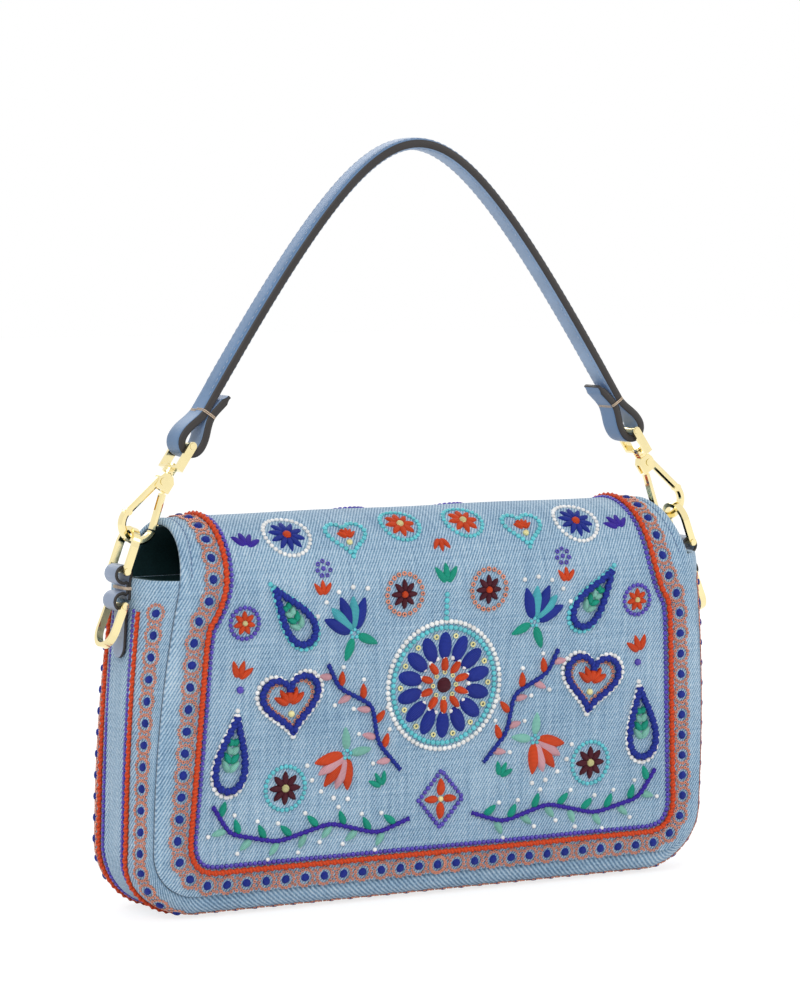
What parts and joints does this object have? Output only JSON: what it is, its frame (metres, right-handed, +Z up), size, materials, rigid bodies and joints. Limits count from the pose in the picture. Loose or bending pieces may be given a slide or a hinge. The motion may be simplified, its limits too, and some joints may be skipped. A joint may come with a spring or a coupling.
{
  "type": "baguette bag",
  "caption": "Denim baguette bag with bead borders, flap over the top and a slim leather handle clipped to ring tabs with gold snap hooks",
  "frame": {"origin": "middle of the flat base, on the floor it stands on", "axes": "+Z up, +X along the bag's width, +Y towards the flap's closure; the uninterrupted face is towards -Y"},
  "size_m": [0.2898, 0.0659, 0.3134],
  "materials": {
    "denim": "light blue twill with bead and thread borders",
    "lining": "dark teal cloth",
    "strap_leather": "smooth blue with dark painted edges",
    "tab_leather": "smooth pale blue with dark edges",
    "gold_metal": "polished pale gold plating",
    "zip_metal": "satin gold",
    "spring_steel": "bright wire",
    "magnet": "nickel plated",
    "thread": "tan waxed thread",
    "board": "bare fibre board"
  },
  "bodies": {
    "bag": {"gusset_strip": "denim", "rear_panel": "denim", "front_panel": "denim", "gusset_lining": "lining", "rear_lining": "lining", "front_lining": "lining", "base_board": "board", "front_magnet": "magnet", "pocket_patch": "lining", "zip_tape": "lining", "zip_chain": "zip_metal", "left_tab": "tab_leather", "right_tab": "tab_leather", "left_tab_thread": "thread", "right_tab_thread": "thread"},
    "flap": {"flap_panel": "denim", "flap_lining": "lining", "flap_magnet": "magnet"},
    "handle": {"handle_outer": "strap_leather", "handle_inner": "strap_leather", "left_strap_end": "strap_leather", "left_binding": "thread", "left_hook_eye": "gold_metal", "left_eye_bar": "gold_metal", "right_strap_end": "strap_leather", "right_binding": "thread", "right_hook_eye": "gold_metal", "right_eye_bar": "gold_metal"},
    "slider": {"zip_slider": "zip_metal"},
    "pull": {"zip_pull": "zip_metal"},
    "left_upper": {"left_upper_ring": "gold_metal", "left_upper_pin": "gold_metal"},
    "left_lower": {"left_lower_ring": "gold_metal", "left_lower_pin": "gold_metal"},
    "left_hook": {"left_hook_body": "gold_metal", "left_gate_rivet": "gold_metal", "left_gate_spring": "spring_steel"},
    "left_gate": {"left_hook_gate": "gold_metal"},
    "right_upper": {"right_upper_ring": "gold_metal", "right_upper_pin": "gold_metal"},
    "right_lower": {"right_lower_ring": "gold_metal", "right_lower_pin": "gold_metal"},
    "right_hook": {"right_hook_body": "gold_metal", "right_gate_rivet": "gold_metal", "right_gate_spring": "spring_steel"},
    "right_gate": {"right_hook_gate": "gold_metal"}
  },
  "joints": [
    {"name": "flap_open", "type": "hinge", "parent": "bag", "child": "flap", "pos_m": [0, 0.00602, 0.15694], "axis": [1, 0, 0], "range_deg": [0, 140]},
    {"name": "handle_swing", "type": "hinge", "parent": "bag", "child": "handle", "pos_m": [0, -0.00838, 0.15247], "axis": [1, 0, 0], "range_deg": [-50, 55]},
    {"name": "zip_slide", "type": "slide", "parent": "bag", "child": "slider", "axis": [1, 0, 0], "range_m": [-0.07, 0.07]},
    {"name": "pull_swing", "type": "hinge", "parent": "slider", "child": "pull", "pos_m": [0, -0.02728, 0.11429], "axis": [1, 0, 0], "range_deg": [0, 120]},
    {"name": "left_upper_ring_play", "type": "hinge", "parent": "bag", "child": "left_upper", "pos_m": [-0.13569, -0.00838, 0.13997], "axis": [0, -1, 0], "range_deg": [-1, 1]},
    {"name": "left_lower_ring_swing", "type": "hinge", "parent": "bag", "child": "left_lower", "pos_m": [-0.13665, -0.00838, 0.1262], "axis": [0, 1, 0], "range_deg": [-16, 70]},
    {"name": "left_hook_swivel", "type": "hinge", "parent": "handle", "child": "left_hook", "pos_m": [-0.13114, -0.00838, 0.15247], "axis": [0.5592, 0, 0.829], "range_deg": [-8, 8]},
    {"name": "left_gate_open", "type": "hinge", "parent": "left_hook", "child": "left_gate", "pos_m": [-0.11645, -0.00838, 0.17513], "axis": [0, 1, 0], "range_deg": [0, 15], "stiffness_Nm_per_rad": 0.02},
    {"name": "right_upper_ring_play", "type": "hinge", "parent": "bag", "child": "right_upper", "pos_m": [0.13569, -0.00838, 0.13997], "axis": [0, 1, 0], "range_deg": [-1, 1]},
    {"name": "right_lower_ring_swing", "type": "hinge", "parent": "bag", "child": "right_lower", "pos_m": [0.13665, -0.00838, 0.1262], "axis": [0, -1, 0], "range_deg": [-16, 70]},
    {"name": "right_hook_swivel", "type": "hinge", "parent": "handle", "child": "right_hook", "pos_m": [0.13114, -0.00838, 0.15247], "axis": [-0.5592, 0, 0.829], "range_deg": [-8, 8]},
    {"name": "right_gate_open", "type": "hinge", "parent": "right_hook", "child": "right_gate", "pos_m": [0.11645, -0.00838, 0.17513], "axis": [0, -1, 0], "range_deg": [0, 15], "stiffness_Nm_per_rad": 0.02}
  ]
}
